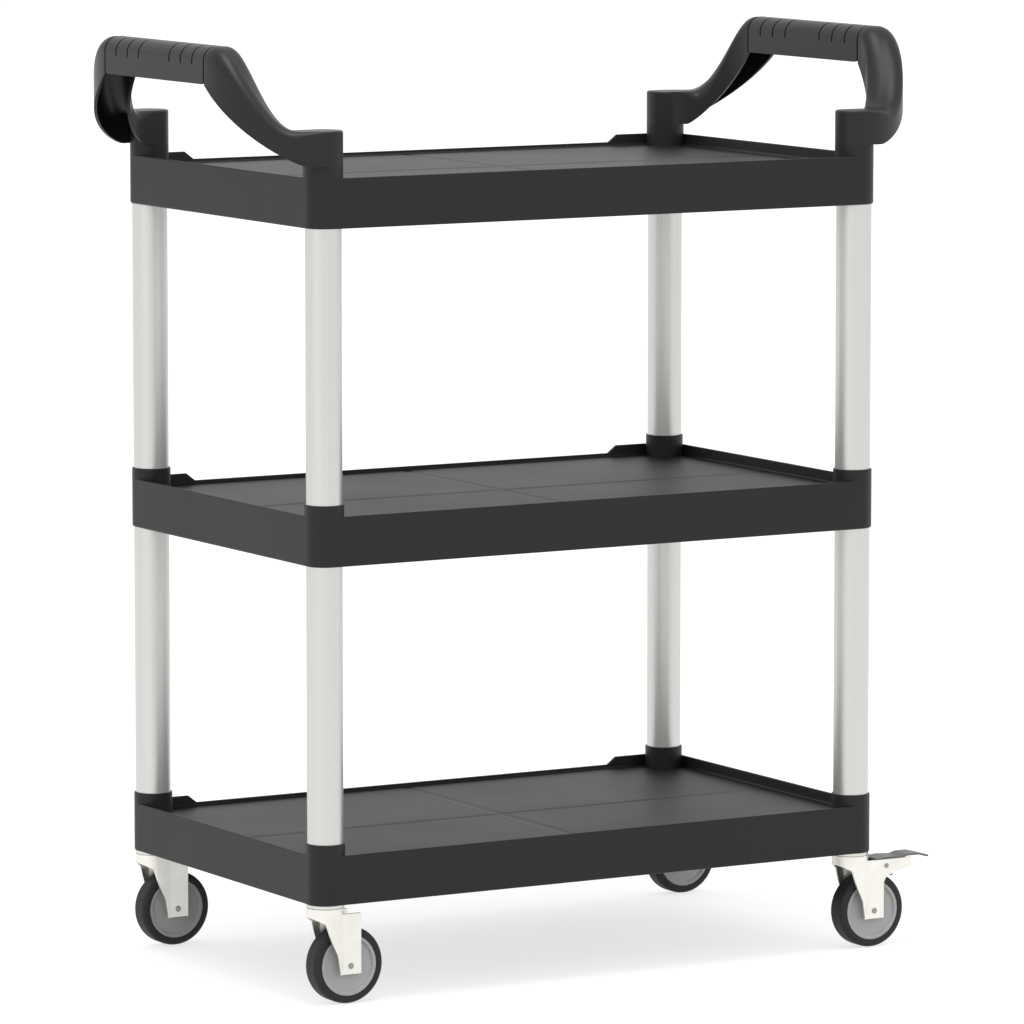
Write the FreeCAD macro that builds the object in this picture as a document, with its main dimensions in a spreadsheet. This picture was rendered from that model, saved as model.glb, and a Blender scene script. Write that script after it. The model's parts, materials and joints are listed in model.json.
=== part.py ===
import FreeCAD, Part
import math
import os
import Sketcher

# Three-shelf food service trolley: moulded shelves on round tubes, a moulded handle at each
# end and four swivel casters, two of them braked.
# +X runs along the length, +Y to the rear long side, +Z up, and the origin lies on the floor
# below the middle of the trolley. Millimetres and degrees.

doc = FreeCAD.newDocument("ServiceTrolley")
sheet = doc.addObject("Spreadsheet::Sheet", "Sizes")

SIZES = [
    # posts
    ("postSpanX", 600), ("postSpanY", 360), ("tubeRadius", 17.5), ("tubeWall", 1.5),
    ("slipFit", 0.05), ("runningFit", 0.08), ("movingGap", 0.3),
    # shelves
    ("wheelHeadroom", 23), ("lowerPitch", 327.5), ("upperPitch", 323.5),
    ("collarWall", 1.65), ("collarHigh", 59.2), ("skirtHigh", 48.3),
    ("skirtWall", 3), ("floorDrop", 11.5), ("floorThick", 3), ("floorRound", 2),
    ("lipRound", 0.9), ("baseRound", 2), ("rearDrop", 7.7), ("rearDropStart", 58),
    ("rearDropSlope", 10), ("grooveWide", 13), ("grooveDeep", 0.8),
    ("ribThick", 2), ("ribDeep", 12), ("ribPitchX", 80), ("ribPitchY", 66),
    ("webThick", 3), ("middleWebZ", 20), ("screwZ", 29), ("lowScrewZ", 10),
    ("screwRadius", 1.75), ("screwHeadRadius", 3.2), ("screwHeadHigh", 1.8), ("screwLong", 8),
    # handles
    ("handleSocketHigh", 33.8), ("handleWall", 3), ("spigotWall", 3), ("spigotTail", 10),
    ("gripOut", 70), ("gripWide", 35), ("gripHigh", 36), ("gripRise", 111.8),
    ("armBend", 76.8), ("armRiseFrom", 22), ("armRiseTo", 86), ("armLiftFrom", 15), ("armLiftPower", 1.35),
    ("armSteps", 18), ("gripRunIn", 6), ("gripRound", 14), ("socketRound", 2), ("ridgePitch", 23.7),
    ("ridgeCount", 4), ("grooveGap", 2.2), ("ridgeDeep", 1.1), ("handleRibThick", 2),
    # wheels
    ("wheelRadius", 37.5), ("tyreWide", 22), ("tyreRound", 4.5), ("tyreThick", 7.5),
    ("sleeveRadius", 4.5), ("bossRadius", 9), ("bossProud", 1.2), ("rimInset", 1.2),
    ("faceInset", 6), ("rimStep", 3.6), ("edgeSoft", 0.5), ("sideGap", 0.6),
    ("axleRadius", 2.5), ("rivetHead", 0.6), ("rivetHeadHigh", 1.1),
    # forks
    ("axleBack", 20), ("steelThick", 2.3), ("legAhead", 8.3), ("legBehind", 11.2),
    ("legBelowAxle", 8), ("legDrop", 9.5), ("crownInset", 0.9), ("crownTurn", 10),
    ("lipHigh", 9), ("lipEdgeX", 7.5), ("frontHigh", 2),
    ("webLowX", 4.4), ("webLowZ", 10.5), ("webHighX", 2.5), ("webHighZ", 24.5),
    ("footX", 12.5), ("footZ", 5),
    # swivels
    ("raceThick", 3), ("raceGap", 0.5), ("crownHigh", 6), ("racePlate", 2.3),
    ("kingpinRadius", 4), ("kingpinHead", 2.5), ("kingpinHeadHigh", 3), ("pinSoft", 1),
    ("stemRadius", 5.5), ("stemLong", 26), ("stemSocketLong", 24), ("ballRadius", 2),
    ("ballRing", 12.2), ("ballCount", 14),
    # brakes
    ("brakePinX", 34.3), ("brakePinDrop", 6.3), ("brakePinRadius", 2), ("pedalThick", 2),
    ("armEndX", 64), ("armEndHigh", 8.2), ("armKneeX", 36.2), ("armKneeDrop", 16.4),
    ("armRootDrop", 25), ("armRootRound", 10), ("pedalTipX", 86), ("shoeX", 39.5),
    ("shoeWide", 3.5), ("shoeDrop", 17.4), ("cheekBelowPin", 5), ("pedalFrontX", 24),
    ("pedalCrestX", 38), ("pedalCrest", 2), ("pedalDipX", 54), ("pedalStepX", 61),
    ("pedalRise", 3), ("pedalTabX", 74),
]
for row, (alias, value) in enumerate(SIZES, start=1):
    sheet.set("A%d" % row, alias)
    sheet.set("B%d" % row, str(value))
    sheet.setAlias("B%d" % row, alias)
doc.recompute()

# Sizes that follow from the sheet, as expressions.
SHEET = "<<Sizes>>."
COLLAR = "(tubeRadius + slipFit + collarWall)"
SOCKET = "(tubeRadius + slipFit)"
BORE = "(tubeRadius - tubeWall - slipFit)"
BOTTOM_Z = "(2 * wheelRadius + wheelHeadroom)"
MIDDLE_Z = "(2 * wheelRadius + wheelHeadroom + lowerPitch)"
TOP_Z = "(2 * wheelRadius + wheelHeadroom + lowerPitch + upperPitch)"
HALF_X = "(postSpanX / 2 + tubeRadius + slipFit + collarWall)"
HALF_Y = "(postSpanY / 2 + tubeRadius + slipFit + collarWall)"
FLOOR_TOP = "(skirtHigh - floorDrop)"
FLOOR_UNDER = "(skirtHigh - floorDrop - floorThick)"
CROWN = "(tubeRadius + slipFit + collarWall - crownInset)"
CROWN_TOP = "(2 * wheelRadius + wheelHeadroom - raceThick - raceGap)"
LEG_TOP = "(2 * wheelRadius + wheelHeadroom - legDrop)"
LEG_IN = "(tyreWide / 2 + bossProud / 2 + sideGap)"
LEG_FACE = "(tyreWide / 2 + bossProud / 2 + sideGap + steelThick)"
LEG_FRONT = "(axleBack - legAhead)"
LEG_REAR = "(axleBack + legBehind)"
TYRE_SEAT = "(wheelRadius - tyreThick)"
BRAKE_PIN_Z = "(2 * wheelRadius + wheelHeadroom - legDrop - brakePinDrop)"

ALIASES = sorted((alias for alias, _ in SIZES), key=len, reverse=True)


def tied(formula):
    """A formula of sheet names, as an expression that FreeCAD reads."""
    words = []
    word = ""
    for letter in formula + " ":
        if letter.isalnum() or letter == "_":
            word += letter
            continue
        words.append(SHEET + word if word in ALIASES else word)
        words.append(letter)
        word = ""
    return "".join(words).strip()


def size(formula):
    """The number that a formula of sheet names gives now."""
    result = sheet.evalExpression(tied(str(formula)))
    return float(getattr(result, "Value", result))


def minus(formula):
    return "-(%s)" % formula


# ---------------------------------------------------------------- document helpers

def new_body(label, x="0", y="0", z="0", turn=0):
    body = doc.addObject("PartDesign::Body", label)
    body.Label = label
    body.Placement = FreeCAD.Placement(FreeCAD.Vector(), FreeCAD.Rotation(FreeCAD.Vector(0, 0, 1), turn))
    for axis, formula in (("x", x), ("y", y), ("z", z)):
        body.setExpression("Placement.Base." + axis, tied(formula))
    return body


def new_sketch(body, plane, lift="0"):
    sketch = body.newObject("Sketcher::SketchObject", body.Label + "_sketch")
    origin = [item for item in body.Origin.OriginFeatures if item.Role == plane][0]
    sketch.AttachmentSupport = [(origin, "")]
    sketch.MapMode = "FlatFace"
    sketch.setExpression("AttachmentOffset.Base.z", tied(lift))
    return sketch


def pin_point(sketch, geometry, end, x, y):
    for kind, formula in (("DistanceX", x), ("DistanceY", y)):
        constraint = Sketcher.Constraint(kind, -1, 1, geometry, end, size(formula))
        number = sketch.addConstraint(constraint)
        sketch.setExpression("Constraints[%d]" % number, tied(formula))


def pin_radius(sketch, geometry, radius):
    number = sketch.addConstraint(Sketcher.Constraint("Radius", geometry, size(radius)))
    sketch.setExpression("Constraints[%d]" % number, tied(radius))


def arc_between(start, end, radius, bulge, long_way):
    """An arc from start to end, which turns left where bulge is 1 and right where it is -1."""
    chord = end - start
    half = chord.Length / 2
    reach = math.sqrt(max(radius * radius - half * half, 0))
    left = FreeCAD.Vector(-chord.y, chord.x, 0).normalize()
    centre = (start + end) / 2 + left * (-bulge * reach if long_way else bulge * reach)
    first, last = (start, end) if bulge > 0 else (end, start)
    angles = [math.atan2(point.y - centre.y, point.x - centre.x) for point in (first, last)]
    circle = Part.Circle(centre, FreeCAD.Vector(0, 0, 1), radius)
    return Part.ArcOfCircle(circle, angles[0], angles[1])


def outline(sketch, corners, arcs=None):
    """A closed outline; arcs gives a side's radius, its bulge and True if it turns over half a circle."""
    arcs = arcs or {}
    points = [FreeCAD.Vector(size(x), size(y), 0) for x, y in corners]
    sides = []
    for number, start in enumerate(points):
        end = points[(number + 1) % len(points)]
        if number in arcs:
            radius, bulge, *long_way = arcs[number]
            geometry = sketch.addGeometry(arc_between(start, end, size(radius), bulge, bool(long_way)))
            ends = (1, 2) if bulge > 0 else (2, 1)
        else:
            geometry = sketch.addGeometry(Part.LineSegment(start, end))
            ends = (1, 2)
        sides.append((geometry, ends))
    for number, (geometry, ends) in enumerate(sides):
        following, next_ends = sides[(number + 1) % len(sides)]
        sketch.addConstraint(Sketcher.Constraint("Coincident", geometry, ends[1], following, next_ends[0]))
        pin_point(sketch, geometry, ends[0], *corners[number])
        if number in arcs:
            pin_radius(sketch, geometry, arcs[number][0])
    return sketch


def ring(sketch, x, y, radius):
    centre = FreeCAD.Vector(size(x), size(y), 0)
    circle = Part.Circle(centre, FreeCAD.Vector(0, 0, 1), size(radius))
    geometry = sketch.addGeometry(circle)
    pin_point(sketch, geometry, 3, x, y)
    pin_radius(sketch, geometry, radius)


def rounded_rectangle(sketch, half_x, half_y, radius):
    left, right, near, far = minus(half_x), half_x, minus(half_y), half_y
    corners = [
        ("%s + %s" % (left, radius), near), ("%s - %s" % (right, radius), near),
        (right, "%s + %s" % (near, radius)), (right, "%s - %s" % (far, radius)),
        ("%s - %s" % (right, radius), far), ("%s + %s" % (left, radius), far),
        (left, "%s - %s" % (far, radius)), (left, "%s + %s" % (near, radius)),
    ]
    outline(sketch, corners, {number: (radius, 1) for number in (1, 3, 5, 7)})


def pad(body, sketch, length, both=False, back=False):
    feature = body.newObject("PartDesign::Pad", body.Label + "_pad")
    feature.Profile = sketch
    feature.Midplane = both
    feature.Reversed = back
    feature.setExpression("Length", tied(length))
    doc.recompute()
    return feature


def cut(body, sketch, length, both=False, back=False):
    """A pocket; it stops the build if it takes nothing away."""
    before = body.Shape.Volume
    feature = body.newObject("PartDesign::Pocket", body.Label + "_pocket")
    feature.Profile = sketch
    feature.Midplane = both
    feature.Reversed = back
    feature.setExpression("Length", tied(length))
    doc.recompute()
    if body.Shape.Volume > before - 0.01:
        raise ValueError("a pocket of %s cuts nothing" % body.Label)
    return feature


def turned(body, corners, axis="Z_Axis", plane="XZ_Plane", arcs=None):
    """A solid of revolution about one of the body's own axes."""
    sketch = outline(new_sketch(body, plane), corners, arcs)
    feature = body.newObject("PartDesign::Revolution", body.Label + "_turned")
    feature.Profile = sketch
    feature.ReferenceAxis = ([item for item in body.Origin.OriginFeatures if item.Role == axis][0], [""])
    feature.Angle = 360
    doc.recompute()
    return feature


def rounded(body, radius, wanted):
    """Rounds the edges of the body that wanted accepts."""
    base = body.Tip
    names = []
    for number, edge in enumerate(base.Shape.Edges, start=1):
        if wanted(edge):
            names.append("Edge%d" % number)
    if not names:
        raise ValueError("no edge to round on %s" % body.Label)
    feature = body.newObject("PartDesign::Fillet", body.Label + "_round")
    feature.Base = (base, names)
    feature.setExpression("Radius", tied(radius))
    doc.recompute()
    return feature


def repeated(body, feature, axis, length, count):
    pattern = body.newObject("PartDesign::LinearPattern", body.Label + "_pattern")
    pattern.Originals = [feature]
    pattern.Direction = ([item for item in body.Origin.OriginFeatures if item.Role == axis][0], [""])
    pattern.setExpression("Length", tied(length))
    pattern.Occurrences = count
    body.Tip = pattern
    doc.recompute()
    return pattern


def at_height(formula, tolerance=0.01):
    level = size(formula)

    def test(edge):
        return all(abs(vertex.Z - level) < tolerance for vertex in edge.Vertexes)
    return test


def shaped(label, shape, x="0", y="0", z="0", turn=0):
    """A sub-part whose shape comes from Part's own functions."""
    feature = doc.addObject("Part::Feature", label)
    feature.Label = label
    feature.Shape = shape
    place = FreeCAD.Vector(size(x), size(y), size(z))
    feature.Placement = FreeCAD.Placement(place, FreeCAD.Rotation(FreeCAD.Vector(0, 0, 1), turn))
    return feature


# ---------------------------------------------------------------- posts and corners

BRAKED = ("front_right", "rear_right")
CORNERS = [
    ("front_left", "-postSpanX / 2", "-postSpanY / 2", 0),
    ("front_right", "postSpanX / 2", "-postSpanY / 2", 180),
    ("rear_left", "-postSpanX / 2", "postSpanY / 2", 0),
    ("rear_right", "postSpanX / 2", "postSpanY / 2", 180),
]


def make_tube(label, x, y, low, high, turn, holes):
    """A tube that stands at a corner, with screw holes on the side that faces inwards."""
    body = new_body(label, x, y, low, turn)
    sketch = new_sketch(body, "XY_Plane")
    ring(sketch, "0", "0", "tubeRadius")
    ring(sketch, "0", "0", "tubeRadius - tubeWall")
    pad(body, sketch, "%s - %s" % (high, low))
    for hole in holes:
        drilled = new_sketch(body, "YZ_Plane")
        ring(drilled, "0", "%s - %s" % (hole, low), "screwRadius + slipFit")
        cut(body, drilled, "tubeRadius + 1", back=True)


# ---------------------------------------------------------------- shelves

def at_posts(sketch, radius):
    for _, x, y, _ in CORNERS:
        ring(sketch, x, y, radius)
    return sketch


def make_tray(body):
    """The skirt and the floor, with every edge rounded."""
    skirt = new_sketch(body, "XY_Plane")
    rounded_rectangle(skirt, HALF_X, HALF_Y, COLLAR)
    pad(body, skirt, "skirtHigh")
    recess = new_sketch(body, "XY_Plane", "skirtHigh")
    rounded_rectangle(recess, HALF_X + " - skirtWall", HALF_Y + " - skirtWall", "(%s - skirtWall)" % COLLAR)
    cut(body, recess, "floorDrop")
    rounded(body, "floorRound", at_height(FLOOR_TOP))
    rounded(body, "lipRound", at_height("skirtHigh"))
    rounded(body, "baseRound", at_height("0"))
    hollow = new_sketch(body, "XY_Plane")
    rounded_rectangle(hollow, HALF_X + " - skirtWall", HALF_Y + " - skirtWall", "(%s - skirtWall)" % COLLAR)
    cut(body, hollow, FLOOR_UNDER, back=True)


def lower_rear_lip(body):
    """The rear lip is lower between the rear posts, with a short slope at each end."""
    sketch = new_sketch(body, "XZ_Plane", minus(HALF_Y + " + 1"))
    low = "skirtHigh - rearDrop"
    above = "skirtHigh + 1"
    inner = "postSpanX / 2 - rearDropStart"
    outer = "postSpanX / 2 - rearDropStart + rearDropSlope"
    corners = [(minus(outer), "skirtHigh"), (minus(inner), low), (inner, low), (outer, "skirtHigh"),
               (outer, above), (minus(outer), above)]
    outline(sketch, corners)
    cut(body, sketch, "skirtWall + 1.1", back=True)


def add_ribs(body):
    """A grid of ribs under the floor."""
    across = new_sketch(body, "XY_Plane", FLOOR_UNDER + " - ribDeep")
    low, high = "-3 * ribPitchX - ribThick / 2", "-3 * ribPitchX + ribThick / 2"
    side = HALF_Y + " - skirtWall / 2"
    outline(across, [(low, minus(side)), (high, minus(side)), (high, side), (low, side)])
    first = pad(body, across, "ribDeep + floorThick / 2")
    repeated(body, first, "X_Axis", "6 * ribPitchX", 7)
    along = new_sketch(body, "XY_Plane", FLOOR_UNDER + " - ribDeep")
    low, high = "-2 * ribPitchY - ribThick / 2", "-2 * ribPitchY + ribThick / 2"
    side = HALF_X + " - skirtWall / 2"
    outline(along, [(minus(side), low), (side, low), (side, high), (minus(side), high)])
    second = pad(body, along, "ribDeep + floorThick / 2")
    repeated(body, second, "Y_Axis", "4 * ribPitchY", 5)


def add_floor_grooves(body):
    """One wide shallow groove along each middle line of the floor."""
    half = "grooveWide / 2"
    section = [(minus(half), FLOOR_TOP), ("0", FLOOR_TOP + " - grooveDeep"), (half, FLOOR_TOP),
               (half, FLOOR_TOP + " + grooveDeep"), (minus(half), FLOOR_TOP + " + grooveDeep")]
    for plane, reach in (("XZ_Plane", HALF_Y), ("YZ_Plane", HALF_X)):
        groove = outline(new_sketch(body, plane), section)
        cut(body, groove, "2 * (%s - skirtWall - floorRound)" % reach, both=True)


def drill_screw_holes(body, heights):
    """Each collar is drilled from the middle of the shelf, under the floor."""
    for side in (-1, 1):
        for height in heights:
            lift = "%d * (postSpanX / 2 - tubeRadius / 2)" % side
            sketch = new_sketch(body, "YZ_Plane", lift)
            ring(sketch, "-postSpanY / 2", height, "screwRadius + slipFit")
            ring(sketch, "postSpanY / 2", height, "screwRadius + slipFit")
            cut(body, sketch, COLLAR, back=side < 0)


def make_shelf(label, level, sockets, screw_heights, stem_holes=False):
    """sockets lists the depth range of each set of tube sockets, from the skirt's bottom edge."""
    body = new_body(label, z=level)
    make_tray(body)
    lower_rear_lip(body)
    add_ribs(body)
    add_floor_grooves(body)
    collars = at_posts(new_sketch(body, "XY_Plane", "baseRound"), COLLAR)
    pad(body, collars, "collarHigh - baseRound")
    if level != TOP_Z:
        # the top collars keep a sharp edge, because the handles stand flush on them
        rounded(body, "lipRound", at_height("collarHigh"))
    for low, high in sockets:
        sketch = at_posts(new_sketch(body, "XY_Plane", low), SOCKET)
        cut(body, sketch, "%s - (%s)" % (high, low), back=True)
    if stem_holes:
        sketch = at_posts(new_sketch(body, "XY_Plane"), "stemRadius + movingGap")
        cut(body, sketch, "webThick", back=True)
    drill_screw_holes(body, screw_heights)


make_shelf("bottom_shelf", BOTTOM_Z, [("webThick", "collarHigh + 1")], ["screwZ"], stem_holes=True)
make_shelf("middle_shelf", MIDDLE_Z, [("-1", "middleWebZ"), ("middleWebZ + webThick", "collarHigh + 1")],
           ["screwZ", "lowScrewZ"])
make_shelf("top_shelf", TOP_Z, [("-1", "collarHigh + 1")], ["screwZ"])

HANDLE_BASE = "(%s + collarHigh)" % TOP_Z
LOWER_TUBE = ("(%s + webThick)" % BOTTOM_Z, "(%s + middleWebZ)" % MIDDLE_Z)
UPPER_TUBE = ("(%s + middleWebZ + webThick)" % MIDDLE_Z,
              "(%s + handleSocketHigh - handleWall)" % HANDLE_BASE)
for corner, x, y, turn in CORNERS:
    make_tube(corner + "_lower_tube", x, y, LOWER_TUBE[0], LOWER_TUBE[1], turn,
              [BOTTOM_Z + " + screwZ", MIDDLE_Z + " + lowScrewZ"])
    make_tube(corner + "_upper_tube", x, y, UPPER_TUBE[0], UPPER_TUBE[1], turn,
              [MIDDLE_Z + " + screwZ", TOP_Z + " + screwZ"])


def make_shelf_screws():
    """Pan-head screws through each collar into its tube, driven from under the floor."""
    head = size("screwHeadRadius")
    high = size("screwHeadHigh")
    along = FreeCAD.Vector(1, 0, 0)
    screw = Part.makeCylinder(size("screwRadius"), size("screwLong"), FreeCAD.Vector(), along)
    dome = Part.makeCylinder(head, high, FreeCAD.Vector(-high, 0, 0), along)
    crown = [edge for edge in dome.Edges if abs(edge.BoundBox.XMax + high) < 0.01]
    dome = dome.makeFillet(high * 0.6, crown)
    recess = Part.makeBox(high, head, high / 3)
    recess.translate(FreeCAD.Vector(-high * 1.5, -head / 2, -high / 6))
    slot = recess.copy()
    slot.rotate(FreeCAD.Vector(), along, 90)
    one = screw.fuse(dome).cut(recess).cut(slot).removeSplitter()
    levels = [BOTTOM_Z + " + screwZ", MIDDLE_Z + " + lowScrewZ", MIDDLE_Z + " + screwZ", TOP_Z + " + screwZ"]
    screws = []
    for _, x, y, turn in CORNERS:
        for level in levels:
            copy = one.copy()
            inward = size(COLLAR) * (1 if turn == 0 else -1)
            copy.rotate(FreeCAD.Vector(), FreeCAD.Vector(0, 0, 1), 180 + turn)
            copy.translate(FreeCAD.Vector(size(x) + inward, size(y), size(level)))
            screws.append(copy)
    return Part.makeCompound(screws)


shaped("shelf_screws", make_shelf_screws())

# ---------------------------------------------------------------- handles

def eased(value, start, end):
    """0 before start, 1 after end, and a smooth change between them."""
    share = min(max((value - start) / (end - start), 0), 1)
    return share * share * (3 - 2 * share)


def arm_section(angle, run, inset, below):
    """The channel's section where the arm has turned by angle and then gone straight by run.

    The arm leaves its post outwards and turns to run beside the shelf, so its two walls follow
    ellipses; inset moves the section inside the wall, and below lengthens it downwards.
    """
    turn = math.radians(angle)
    bend = size("armBend")
    out = size("gripOut")
    half = size("gripWide") / 2
    collar = size(COLLAR)
    inner = FreeCAD.Vector((out - half) * math.sin(turn), bend - (bend - collar) * math.cos(turn) + run, 0)
    outer = FreeCAD.Vector((out + half) * math.sin(turn), bend - (bend + collar) * math.cos(turn) + run, 0)
    across = (outer - inner).normalize()
    inner = inner + across * inset
    outer = outer - across * inset
    lift = max(angle - size("armLiftFrom"), 0) / (90 - size("armLiftFrom"))
    low = size("gripRise - gripHigh") * lift ** size("armLiftPower") - below
    rise = eased(angle, size("armRiseFrom"), size("armRiseTo"))
    high = size("handleSocketHigh") + size("gripRise - handleSocketHigh") * rise - inset
    soft = eased(angle, 0, size("armRiseTo") / 2)
    corner = size("socketRound") + size("gripRound - socketRound") * soft - inset
    return section_wire(inner, outer, across, low, high, max(corner, size("pinSoft")))


def section_wire(inner, outer, across, low, high, corner):
    """A closed section with square lower corners and round upper ones."""
    up = FreeCAD.Vector(0, 0, 1)
    soft = corner * (1 - math.sqrt(0.5))
    points = [
        outer + up * low, inner + up * low, inner + up * (high - corner),
        inner + across * soft + up * (high - soft), inner + across * corner + up * high,
        outer - across * corner + up * high, outer - across * soft + up * (high - soft),
        outer + up * (high - corner),
    ]
    edges = [
        Part.LineSegment(points[0], points[1]).toShape(),
        Part.LineSegment(points[1], points[2]).toShape(),
        Part.Arc(points[2], points[3], points[4]).toShape(),
        Part.LineSegment(points[4], points[5]).toShape(),
        Part.Arc(points[5], points[6], points[7]).toShape(),
        Part.LineSegment(points[7], points[0]).toShape(),
    ]
    return Part.Wire(edges)


def arm_and_half_grip(inset, below):
    """From one post to the middle of the grip."""
    straight = size("postSpanY / 2 - armBend")
    run_in = size("gripRunIn")
    steps = int(size("armSteps"))
    wires = [arm_section(90 * step / steps, 0, inset, below) for step in range(steps + 1)]
    wires.append(arm_section(90, run_in, inset, below))
    arm = Part.makeLoft(wires, True, False)
    end = Part.Face(arm_section(90, run_in, inset, below))
    return arm.fuse(end.extrude(FreeCAD.Vector(0, straight - run_in, 0)))


def groove_cutter(from_middle, full):
    """A slot across the grip's top; a full one runs down its sides too."""
    wide = size("grooveGap")
    run = size("postSpanY / 2 - armBend") - from_middle - wide / 2
    reach = size("ridgeDeep")
    shell = Part.Face(arm_section(90, run, -2 * reach, reach))
    core = Part.Face(arm_section(90, run, reach, 2 * reach))
    slot = shell.cut(core).extrude(FreeCAD.Vector(0, wide, 0))
    if full:
        return slot
    middle = size("gripRise - gripHigh / 2")
    wall = size("gripOut + gripWide")
    return slot.common(Part.makeBox(wall, size("postSpanY"), size("gripHigh"), FreeCAD.Vector(0, 0, middle)))


def make_handle_socket():
    """The round end that stands on the collar, with its bore and the spigot in the tube."""
    collar = size(COLLAR)
    top = size("handleSocketHigh")
    inside = top - size("handleWall")
    tail = size("collarHigh - screwZ + spigotTail")
    foot = FreeCAD.Vector(0, 0, -tail)
    socket = Part.makeCylinder(collar, top)
    rim = [edge for edge in socket.Edges if abs(edge.BoundBox.ZMin - top) < 0.01]
    socket = socket.makeFillet(size("socketRound"), rim)
    bore = Part.makeCylinder(size(SOCKET), inside)
    spigot = Part.makeCylinder(size(BORE), inside + tail, foot)
    core = Part.makeCylinder(size(BORE) - size("spigotWall"), inside + tail, foot)
    return socket, bore, spigot.cut(core)


def make_half_handle():
    """One end of the handle, with its post at the origin and the grip's middle inboard."""
    socket, bore, spigot = make_handle_socket()
    collar = size(COLLAR)
    tall = 3 * size("handleSocketHigh")
    hollow = arm_and_half_grip(size("handleWall"), size("handleWall"))
    hollow = hollow.cut(Part.makeCylinder(collar, tall, FreeCAD.Vector(0, 0, -tall / 3)))
    # the curved lower edge dips a little near the post, so it is trimmed level with the collar
    reach = size("gripOut")
    trim = Part.makeBox(2 * reach, 2 * reach, tall, FreeCAD.Vector(-reach, -reach, -tall))
    half = arm_and_half_grip(0, 0).cut(hollow).cut(trim).fuse(socket).cut(bore).fuse(spigot)
    screw_level = FreeCAD.Vector(0, 0, -size("collarHigh - screwZ"))
    hole = Part.makeCylinder(size("screwRadius + slipFit"), collar, screw_level, FreeCAD.Vector(-1, 0, 0))
    half = half.cut(hole)
    rib_wide, rib_high = size("gripWide - handleWall"), size("gripHigh") - size("handleWall + ridgeDeep")
    rib_corner = FreeCAD.Vector(size("gripOut") - rib_wide / 2, size("postSpanY / 2 + ridgePitch / 2"),
                                size("gripRise - gripHigh + handleWall / 2"))
    for number in range(int(size("ridgeCount"))):
        from_middle = size("postSpanY / 2 - armBend") - number * size("ridgePitch")
        half = half.cut(groove_cutter(from_middle, full=number == 0))
        rib = Part.makeBox(rib_wide, size("handleRibThick"), rib_high)
        rib.translate(rib_corner - FreeCAD.Vector(0, from_middle, 0))
        half = half.fuse(rib.common(arm_and_half_grip(size("handleWall / 2"), 0)))
    return half


def make_handle():
    """Two mirrored halves, joined in the middle of the grip."""
    half = make_half_handle()
    half.translate(FreeCAD.Vector(0, -size("postSpanY") / 2, 0))
    other = half.mirror(FreeCAD.Vector(), FreeCAD.Vector(0, 1, 0))
    return half.fuse(other).removeSplitter()


handle_shape = make_handle()
shaped("right_handle", handle_shape, "postSpanX / 2", "0", HANDLE_BASE)
shaped("left_handle", handle_shape, "-postSpanX / 2", "0", HANDLE_BASE, 180)
print("handles done")

# ---------------------------------------------------------------- casters

def make_stem(label, x, y):
    """Stem, fixed race plate and kingpin, riveted into one piece."""
    body = new_body(label, x, y, BOTTOM_Z)
    plate_low = "-raceThick"
    head = "(kingpinRadius + kingpinHead)"
    head_top = "-raceThick - raceGap - crownHigh - runningFit"
    head_low = head_top + " - kingpinHeadHigh"
    turned(body, [
        ("0", head_low), (head + " - pinSoft", head_low), (head, head_low + " + pinSoft"),
        (head, head_top), ("kingpinRadius", head_top), ("kingpinRadius", plate_low),
        (CROWN, plate_low), (CROWN, "0"), ("stemRadius", "0"), ("stemRadius", "stemLong - pinSoft"),
        ("stemRadius - pinSoft", "stemLong"), ("0", "stemLong"),
    ])


def make_stem_socket(label, x, y):
    """Moulded plug in the foot of the lower tube, which holds the caster's stem."""
    body = new_body(label, x, y, BOTTOM_Z + " + webThick")
    turned(body, [
        ("stemRadius + slipFit", "0"), (BORE, "0"), (BORE, "stemSocketLong - pinSoft"),
        (BORE + " - pinSoft", "stemSocketLong"), ("stemRadius + slipFit", "stemSocketLong"),
    ])


def make_balls():
    """The ring of balls, midway between the race plate and the crown."""
    race_high = size("raceGap + crownHigh - racePlate")
    level = -size("raceThick") - race_high / 2
    reach = size("ballRing")
    count = int(size("ballCount"))
    balls = []
    for number in range(count):
        angle = 2 * math.pi * number / count
        centre = FreeCAD.Vector(reach * math.cos(angle), reach * math.sin(angle), level)
        balls.append(Part.makeSphere(size("ballRadius"), centre))
    return Part.makeCompound(balls)


def fork_plan(sketch):
    """The bent sheet seen from above: round the front, in over the wheel and straight back."""
    inner = "(%s - steelThick)" % CROWN
    turn = "crownTurn * 1deg"
    outer_x, outer_y = "%s * sin(%s)" % (CROWN, turn), "%s * cos(%s)" % (CROWN, turn)
    inner_x, inner_y = "%s * sin(%s)" % (inner, turn), "%s * cos(%s)" % (inner, turn)
    near_side = [(LEG_REAR, minus(LEG_FACE)), (LEG_REAR, minus(LEG_IN)), (LEG_FRONT, minus(LEG_IN)),
                 (inner_x, minus(inner_y))]
    far_side = [(inner_x, inner_y), (LEG_FRONT, LEG_IN), (LEG_REAR, LEG_IN), (LEG_REAR, LEG_FACE),
                (LEG_FRONT, LEG_FACE), (outer_x, outer_y)]
    last = [(outer_x, minus(outer_y)), (LEG_FRONT, minus(LEG_FACE))]
    outline(sketch, near_side + far_side + last, {3: (inner, -1, True), 9: (CROWN, 1, True)})


def shape_fork_front(body, bottom):
    """The front edge slopes down from the crown, then runs to the foot of each leg."""
    front = minus(CROWN + " + 1")
    foot = "(axleBack - footX)"
    sketch = new_sketch(body, "XZ_Plane")
    outline(sketch, [
        (front, bottom + " - 1"), (foot, bottom + " - 1"), (foot, "wheelRadius - footZ"),
        ("webLowX", "wheelRadius + webLowZ"), (minus("webHighX"), "wheelRadius + webHighZ"),
        (minus("lipEdgeX"), LEG_TOP + " - lipHigh"), (front, LEG_TOP + " - frontHigh"),
    ])
    cut(body, sketch, "4 * %s" % CROWN, both=True)


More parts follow.
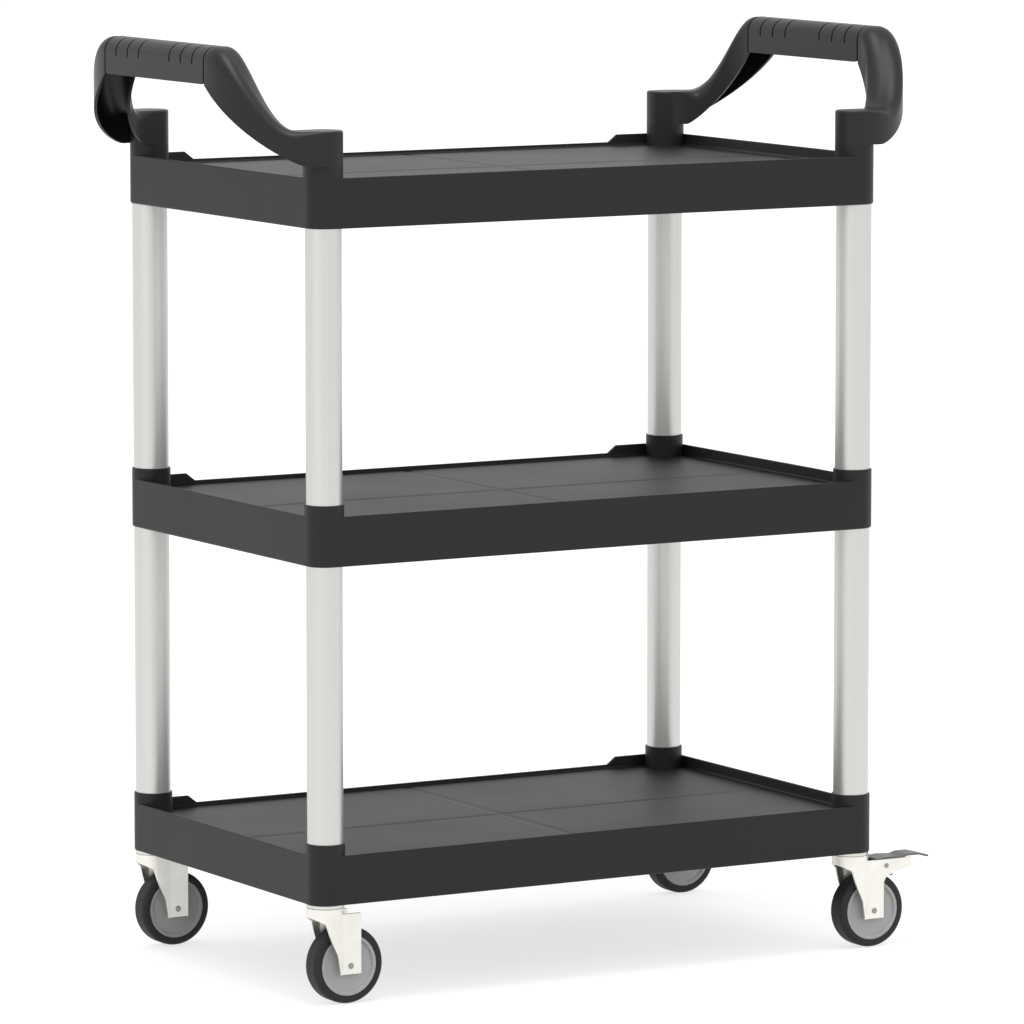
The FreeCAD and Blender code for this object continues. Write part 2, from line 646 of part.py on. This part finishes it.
def add_brake_arms(body):
    """Each leg plate runs on behind the wheel as an arm that carries the pedal."""
    root = "(%s - legBehind / 2)" % LEG_REAR
    low = LEG_TOP + " - armRootDrop"
    for side in (-1, 1):
        arm = new_sketch(body, "XZ_Plane", "%d * %s" % (side, LEG_IN))
        outline(arm, [
            (root, LEG_TOP), ("armEndX", LEG_TOP), ("armEndX", LEG_TOP + " - armEndHigh"),
            ("armKneeX", LEG_TOP + " - armKneeDrop"), (LEG_REAR, low), (root, low),
        ], {3: ("armRootRound", 1)})
        pad(body, arm, "steelThick", back=side < 0)


def make_fork(label, x, y, braked):
    """Pressed fork: two legs, the front that joins them and the cup that runs on the balls."""
    body = new_body(label, x, y)
    bottom = "wheelRadius - legBelowAxle"
    plan = new_sketch(body, "XY_Plane", bottom)
    fork_plan(plan)
    pad(body, plan, "%s - (%s)" % (LEG_TOP, bottom))
    shape_fork_front(body, bottom)
    if braked:
        add_brake_arms(body)
    rim_in = "(%s - steelThick)" % CROWN
    plate_low = "(%s - crownHigh)" % CROWN_TOP
    plate_top = "(%s - crownHigh + racePlate)" % CROWN_TOP
    hole = "(kingpinRadius + runningFit)"
    turned(body, [(hole, plate_low), (CROWN, plate_low), (CROWN, CROWN_TOP), (rim_in, CROWN_TOP),
                  (rim_in, plate_top), (hole, plate_top)])
    holes = new_sketch(body, "XZ_Plane")
    ring(holes, "axleBack", "wheelRadius", "axleRadius + slipFit")
    if braked:
        ring(holes, "brakePinX", BRAKE_PIN_Z, "brakePinRadius + slipFit")
    cut(body, holes, "4 * %s" % CROWN, both=True)


def make_rivet(label, x, y, z, radius):
    """A rivet across both legs, with a low domed head outside each of them."""
    body = new_body(label, x, y, z)
    head = "(%s + rivetHead)" % radius
    end = "(%s + rivetHeadHigh)" % LEG_FACE
    dome = head + " - rivetHead"
    turned(body, [
        ("0", minus(end)), (dome, minus(end)), (head, minus(LEG_FACE)), (radius, minus(LEG_FACE)),
        (radius, LEG_FACE), (head, LEG_FACE), (dome, end), ("0", end),
    ], "Y_Axis", "XY_Plane")


def make_sleeve(label, x, y):
    """Sleeve round the axle, held between the legs; the hub turns on it."""
    body = new_body(label, x + " + axleBack", y, "wheelRadius")
    inside = "axleRadius + slipFit"
    turned(body, [(inside, minus(LEG_IN)), ("sleeveRadius", minus(LEG_IN)), ("sleeveRadius", LEG_IN),
                  (inside, LEG_IN)], "Y_Axis", "XY_Plane")


def make_hub(label, x, y):
    """Moulded wheel centre with a raised rim and a boss round its bore."""
    body = new_body(label, x + " + axleBack", y, "wheelRadius")
    bore = "sleeveRadius + runningFit"
    boss = "(tyreWide + bossProud) / 2"
    face = "(tyreWide - faceInset) / 2"
    rim = "(tyreWide - rimInset) / 2"
    step = "(%s - rimStep)" % TYRE_SEAT
    one_side = [
        (bore, boss), ("bossRadius - edgeSoft", boss), ("bossRadius", boss + " - edgeSoft"),
        ("bossRadius + edgeSoft", face + " - edgeSoft"), (step + " - edgeSoft", face),
        (step, rim + " - edgeSoft"), (step + " + edgeSoft", rim), (TYRE_SEAT + " - edgeSoft", rim),
        (TYRE_SEAT, rim + " - edgeSoft"),
    ]
    other_side = [(radius, minus(across)) for radius, across in reversed(one_side)]
    turned(body, one_side + other_side, "Y_Axis", "XY_Plane")


def make_tyre(label, x, y):
    """Rubber tyre with a flat tread and round shoulders."""
    body = new_body(label, x + " + axleBack", y, "wheelRadius")
    half = "tyreWide / 2"
    flat = "(tyreWide / 2 - tyreRound)"
    shoulder = "wheelRadius - tyreRound"
    turned(body, [
        (TYRE_SEAT, minus(half)), (shoulder, minus(half)), ("wheelRadius", minus(flat)),
        ("wheelRadius", flat), (shoulder, half), (TYRE_SEAT, half),
    ], "Y_Axis", "XY_Plane", {1: ("tyreRound", 1), 3: ("tyreRound", 1)})


def make_pedal(label, x, y):
    """Pressed pedal between the brake arms: a top plate, two cheeks on the pin and the brake shoe."""
    body = new_body(label, x, y)
    half = "(%s - movingGap)" % LEG_IN
    crest = "(%s + pedalCrest)" % LEG_TOP
    rise = "(%s + pedalRise)" % LEG_TOP
    dip = "(%s + pedalThick / 2)" % LEG_TOP
    upper = [("pedalFrontX", dip), ("pedalCrestX", crest), ("pedalDipX", dip), ("pedalStepX", rise),
             ("pedalTabX", rise), ("pedalTipX", LEG_TOP)]
    under = [(place, level + " - pedalThick") for place, level in reversed(upper)]
    plate = new_sketch(body, "XZ_Plane")
    outline(plate, upper + under)
    pad(body, plate, "2 * %s" % half, both=True)
    inside = dip + " - pedalThick / 2"
    deep = "(%s - brakePinDrop - cheekBelowPin)" % LEG_TOP
    cheek = [
        ("pedalFrontX + pedalThick", inside), ("pedalFrontX + pedalThick", deep + " + cheekBelowPin"),
        ("brakePinX - brakePinRadius", deep), ("shoeX", deep), ("pedalDipX", inside),
        ("pedalCrestX", crest + " - pedalThick / 2"),
    ]
    for side in (-1, 1):
        sketch = new_sketch(body, "XZ_Plane", "%d * (%s - pedalThick)" % (side, half))
        outline(sketch, cheek)
        pad(body, sketch, "pedalThick", back=side < 0)
    shoe_low = "(%s - shoeDrop)" % LEG_TOP
    shoe_rear = "(shoeX + shoeWide)"
    toe = "(shoeX + 1.5 * shoeWide)"
    shoe = new_sketch(body, "XZ_Plane")
    outline(shoe, [
        ("shoeX", inside), ("shoeX", shoe_low), (shoe_rear, shoe_low),
        (toe, shoe_low + " + shoeWide / 2"), (toe, inside),
    ])
    pad(body, shoe, "2 * (%s - pedalThick / 2)" % half, both=True)
    hole = new_sketch(body, "XZ_Plane")
    ring(hole, "brakePinX", BRAKE_PIN_Z, "brakePinRadius + runningFit")
    cut(body, hole, "4 * %s" % CROWN, both=True)


for corner, x, y, turn in CORNERS:
    make_stem(corner + "_caster_stem", x, y)
    make_stem_socket(corner + "_stem_socket", x, y)
    shaped(corner + "_race_balls", make_balls(), x, y, BOTTOM_Z)
    make_fork(corner + "_fork", x, y, braked=corner in BRAKED)
    make_rivet(corner + "_axle", x + " + axleBack", y, "wheelRadius", "axleRadius")
    make_sleeve(corner + "_axle_sleeve", x, y)
    make_hub(corner + "_hub", x, y)
    make_tyre(corner + "_tyre", x, y)
    if corner in BRAKED:
        make_rivet(corner + "_brake_pin", x + " + brakePinX", y, BRAKE_PIN_Z, "brakePinRadius")
        make_pedal(corner + "_brake_pedal", x, y)
    print(corner + " caster done")

# ---------------------------------------------------------------- checks and files

doc.recompute()
for item in doc.Objects:
    if "Invalid" in item.State or "Error" in item.State:
        raise ValueError("%s did not build" % item.Label)

pieces = [item for item in doc.Objects if item.TypeId == "PartDesign::Body" or item.TypeId == "Part::Feature"]
for piece in pieces:
    if piece.Shape.isNull() or not piece.Shape.isValid():
        raise ValueError("%s has no valid shape" % piece.Label)

os.makedirs("parts", exist_ok=True)
for piece in pieces:
    piece.Shape.exportStep("parts/%s.step" % piece.Label)
    box = piece.Shape.BoundBox
    print("%-26s solids %2d  volume %10.1f  x %7.1f %7.1f  y %7.1f %7.1f  z %6.1f %6.1f" % (
        piece.Label, len(piece.Shape.Solids), piece.Shape.Volume,
        box.XMin, box.XMax, box.YMin, box.YMax, box.ZMin, box.ZMax))
print(len(pieces), "sub-parts")
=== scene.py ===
import bpy
import json
import math
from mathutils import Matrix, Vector

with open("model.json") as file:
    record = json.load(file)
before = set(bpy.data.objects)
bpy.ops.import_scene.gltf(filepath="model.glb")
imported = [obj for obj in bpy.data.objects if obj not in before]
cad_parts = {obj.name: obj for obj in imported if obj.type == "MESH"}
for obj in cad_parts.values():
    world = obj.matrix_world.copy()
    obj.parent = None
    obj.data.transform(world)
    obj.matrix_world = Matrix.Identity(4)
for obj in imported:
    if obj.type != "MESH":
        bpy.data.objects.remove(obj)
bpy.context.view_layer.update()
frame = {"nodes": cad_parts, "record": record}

slotOf = {part["node"]: part["material_slot"] for part in frame["record"]["subparts"]}
print("frame loaded:", len(frame["nodes"]), "nodes")

millimetre = 0.001


def toLinear(hexColour):
    channels = [int(hexColour[start:start + 2], 16) / 255 for start in (1, 3, 5)]
    linear = [c / 12.92 if c <= 0.04045 else ((c + 0.055) / 1.055) ** 2.4 for c in channels]
    return (*linear, 1.0)


def addNode(tree, kind, settings=None, **inputs):
    node = tree.nodes.new(kind)
    for name, value in (settings or {}).items():
        setattr(node, name, value)
    for name, value in inputs.items():
        byNumber = name[0] == "_"  # _3 is input number 3, Base_Color is the input Base Color
        socket = node.inputs[int(name[1:]) if byNumber else name.replace("_", " ")]
        if isinstance(value, bpy.types.NodeSocket):
            tree.links.new(value, socket)
        else:
            socket.default_value = value
    return node


def newMaterial(name):
    material = bpy.data.materials.new(name)
    material.use_nodes = True
    tree = material.node_tree
    tree.nodes.clear()
    shader = addNode(tree, "ShaderNodeBsdfPrincipled")
    addNode(tree, "ShaderNodeOutputMaterial", Surface=shader.outputs[0])
    place = addNode(tree, "ShaderNodeTexCoord").outputs["Object"]
    return material, tree, shader, place


# plastics and rubber: in mm, the size of the paler patches, of the mould's grain and the grain's
# depth; the real grain of 0.2 mm is too fine to show, so it is drawn a few times coarser
mouldings = {
    # polypropylene from an etched mould: near black, with a wide soft sheen over the trays
    "shelf_plastic": {
        "name": "etchedPolypropylene", "colour": "#1e1e1f", "paler": "#232324", "roughness": 0.46,
        "gloss": 0.3, "ior": 1.49, "patch": 110, "grain": 0.9, "depth": 0.05},
    # polypropylene from a smoother mould: the round bends catch a paler streak
    "handle_plastic": {
        "name": "satinPolypropylene", "colour": "#202021", "paler": "#252526", "roughness": 0.38,
        "gloss": 0.3, "ior": 1.49, "patch": 110, "grain": 0.7, "depth": 0.03},
    # moulded polyamide: plain dull black, out of sight inside the tubes
    "plug_plastic": {
        "name": "mouldedPolyamide", "colour": "#202021", "paler": "#252526", "roughness": 0.5,
        "gloss": 0.3, "ior": 1.53, "patch": 110, "grain": 0.7, "depth": 0.03},
    # moulded polypropylene with a grey pigment: even mid grey, so the rims stay readable in shade
    "hub_plastic": {
        "name": "greyPolypropylene", "colour": "#b8b8b8", "paler": "#c0c0c0", "roughness": 0.45,
        "gloss": 0.3, "ior": 1.49, "patch": 40, "grain": 0.8, "depth": 0.03},
    # moulded thermoplastic rubber: matt and almost black, with barely any highlight
    "tyre_rubber": {
        "name": "mouldedRubber", "colour": "#252525", "paler": "#2c2c2c", "roughness": 0.6,
        "gloss": 0.3, "ior": 1.52, "patch": 40, "grain": 0.6, "depth": 0.06},
}
mouldSkin = {"patchDetail": 3.0, "grainDetail": 2.0, "smoother": 0.04, "rougher": 0.05, "bump": 0.6}


def mouldedFinish(name, colour, paler, roughness, gloss, ior, patch, grain, depth):
    material, tree, shader, place = newMaterial(name)
    patches = addNode(tree, "ShaderNodeTexNoise", Vector=place, Scale=1 / (patch * millimetre),
                      Detail=mouldSkin["patchDetail"])
    tint = addNode(tree, "ShaderNodeMix", {"data_type": "RGBA"}, Factor=patches.outputs[0],
                   _6=toLinear(colour), _7=toLinear(paler))
    wear = addNode(tree, "ShaderNodeMapRange", Value=patches.outputs[0],
                   _3=roughness - mouldSkin["smoother"], _4=roughness + mouldSkin["rougher"])
    pits = addNode(tree, "ShaderNodeTexNoise", Vector=place, Scale=1 / (grain * millimetre),
                   Detail=mouldSkin["grainDetail"])
    bump = addNode(tree, "ShaderNodeBump", Height=pits.outputs[0], Distance=depth * millimetre,
                   Strength=mouldSkin["bump"])
    tree.links.new(tint.outputs[2], shader.inputs["Base Color"])
    tree.links.new(wear.outputs[0], shader.inputs["Roughness"])
    tree.links.new(bump.outputs[0], shader.inputs["Normal"])
    shader.inputs["Specular IOR Level"].default_value = gloss
    shader.inputs["IOR"].default_value = ior
    return material


# metals: streak is the size of the duller streaks along x, y and z, in mm
platings = {
    # drawn and anodised aluminium: soft silver with faint streaks up each tube
    "tube_aluminium": {
        "name": "anodisedAluminium", "colour": "#d6d5d2", "duller": "#cccbc8",
        "roughness": 0.4, "streak": (1.1, 1.1, 250)},
    # pressed steel with bright zinc: almost white and slightly warm, with soft clouds
    "fork_steel": {
        "name": "brightZincSteel", "colour": "#f4f3ee", "duller": "#e6e4dc",
        "roughness": 0.42, "streak": (16, 16, 16)},
    # pressed steel with plain zinc: greyer than the forks, so the pedals stand out
    "pedal_steel": {
        "name": "plainZincSteel", "colour": "#72726f", "duller": "#666664",
        "roughness": 0.4, "streak": (16, 16, 16)},
    # turned steel with bright zinc: pale rings under the collars
    "stem_steel": {
        "name": "turnedZincSteel", "colour": "#dedcd7", "duller": "#d0cec8",
        "roughness": 0.34, "streak": (16, 16, 16)},
    # upset rivet heads: a little darker than the plates round them
    "rivet_steel": {
        "name": "upsetSteel", "colour": "#a09f9b", "duller": "#92918d",
        "roughness": 0.36, "streak": (2, 2, 2)},
    # turned steel sleeves: plain grey inside the hubs, with fine rings from the tool
    "sleeve_steel": {
        "name": "turnedSteel", "colour": "#c4c4c2", "duller": "#b4b4b2",
        "roughness": 0.3, "streak": (12, 0.8, 12)},
    # rolled screws with zinc: small grey heads under the trays
    "screw_steel": {
        "name": "rolledZincSteel", "colour": "#c4c4c2", "duller": "#b4b4b2",
        "roughness": 0.36, "streak": (2, 2, 2)},
    # ground bearing balls: bright and sharp, seen only between the two races
    "ball_steel": {
        "name": "groundBearingSteel", "colour": "#dcdcdc", "duller": "#cccccc",
        "roughness": 0.12, "streak": (2, 2, 2)},
}
metalSkin = {"detail": 4.0, "spread": 0.06}


def platedFinish(name, colour, duller, roughness, streak):
    material, tree, shader, place = newMaterial(name)
    scale = [1 / (length * millimetre) for length in streak]
    laid = addNode(tree, "ShaderNodeMapping", Vector=place, Scale=scale)
    streaks = addNode(tree, "ShaderNodeTexNoise", Vector=laid.outputs[0], Scale=1.0,
                      Detail=metalSkin["detail"])
    tint = addNode(tree, "ShaderNodeMix", {"data_type": "RGBA"}, Factor=streaks.outputs[0],
                   _6=toLinear(colour), _7=toLinear(duller))
    haze = addNode(tree, "ShaderNodeMapRange", Value=streaks.outputs[0],
                   _3=roughness - metalSkin["spread"], _4=roughness + metalSkin["spread"])
    tree.links.new(tint.outputs[2], shader.inputs["Base Color"])
    tree.links.new(haze.outputs[0], shader.inputs["Roughness"])
    shader.inputs["Metallic"].default_value = 1.0
    return material


finishes = {slot: mouldedFinish(**look) for slot, look in mouldings.items()}
finishes.update({slot: platedFinish(**look) for slot, look in platings.items()})
for nodeName, node in frame["nodes"].items():
    for slot in node.material_slots:
        slot.material = finishes[slotOf[nodeName]]
print("finishes made:", len(finishes))

# a matt floor, far larger than the view; its own glow keeps it white where it is seen directly
# or in a reflection, and leaves a faint shadow
floorLook = {"size": 120.0, "drop": 0.0005, "colour": "#b4b4b4", "roughness": 0.9, "glow": 0.7}

bpy.ops.mesh.primitive_plane_add(size=floorLook["size"], location=(0, 0, -floorLook["drop"]))
floor = bpy.context.object
floor.name = "floor"
floorMaterial, floorTree, floorShader, _ = newMaterial("whiteFloor")
floorShader.inputs["Base Color"].default_value = toLinear(floorLook["colour"])
floorShader.inputs["Roughness"].default_value = floorLook["roughness"]
floorShader.inputs["Specular IOR Level"].default_value = 0.0
floorShader.inputs["Emission Color"].default_value = (1, 1, 1, 1)
rays = addNode(floorTree, "ShaderNodeLightPath")
seen = addNode(floorTree, "ShaderNodeMath", {"operation": "MAXIMUM"},
               _0=rays.outputs["Is Camera Ray"], _1=rays.outputs["Is Glossy Ray"])
glow = addNode(floorTree, "ShaderNodeMath", {"operation": "MULTIPLY"},
               _0=seen.outputs[0], _1=floorLook["glow"])
floorTree.links.new(glow.outputs[0], floorShader.inputs["Emission Strength"])
floor.data.materials.append(floorMaterial)
print("floor laid")

# an even white room, a touch dimmer as light than as backdrop
roomLook = {"light": 0.96, "backdrop": 1.0}

world = bpy.data.worlds.new("room")
bpy.context.scene.world = world
world.use_nodes = True
room = world.node_tree
room.nodes.clear()
seenDirectly = addNode(room, "ShaderNodeLightPath").outputs["Is Camera Ray"]
strength = addNode(room, "ShaderNodeMapRange", Value=seenDirectly,
                   _3=roomLook["light"], _4=roomLook["backdrop"])
backdrop = addNode(room, "ShaderNodeBackground", Color=(1, 1, 1, 1), Strength=strength.outputs[0])
addNode(room, "ShaderNodeOutputWorld", Surface=backdrop.outputs[0])

# soft boxes: place and size in metres, radiance against the room's 1
softBoxes = {
    "endBox": {"place": (-3.4, -1.6, 1.3), "wide": 3.0, "tall": 3.0, "radiance": 0.2},
    "trayBox": {"place": (-0.2, -0.6, 3.0), "wide": 1.2, "tall": 1.2, "radiance": 5.2},
}
boxAim = Vector((0.0, 0.0, 0.5))


def hangSoftBox(name, place, wide, tall, radiance):
    light = bpy.data.lights.new(name, "AREA")
    light.shape = "RECTANGLE"
    light.size = wide
    light.size_y = tall
    light.energy = radiance * math.pi * wide * tall  # watts from radiance and area
    lamp = bpy.data.objects.new(name, light)
    bpy.context.scene.collection.objects.link(lamp)
    lamp.location = place
    lamp.rotation_euler = (boxAim - Vector(place)).to_track_quat("-Z", "Y").to_euler()


for boxName, boxLook in softBoxes.items():
    hangSoftBox(boxName, **boxLook)
print("lights hung:", len(softBoxes))

# a long lens from the front left, slightly above the top tray; turn and pitch in degrees
cameraLook = {
    "place": (-3.5080, -6.0572, 1.2900), "turn": 30.162, "pitch": 6.924,
    "lens": 248.22, "sensor": 36.0,
}

cameraData = bpy.data.cameras.new("camera")
cameraData.sensor_width = cameraLook["sensor"]
cameraData.lens = cameraLook["lens"]
camera = bpy.data.objects.new("camera", cameraData)
bpy.context.scene.collection.objects.link(camera)
camera.location = cameraLook["place"]
turn = math.radians(cameraLook["turn"])
pitch = math.radians(cameraLook["pitch"])
ahead = Vector((math.sin(turn) * math.cos(pitch), math.cos(turn) * math.cos(pitch), -math.sin(pitch)))
camera.rotation_euler = ahead.to_track_quat("-Z", "Y").to_euler()
bpy.context.scene.camera = camera
bpy.context.scene.view_settings.view_transform = "Standard"
print("camera set")
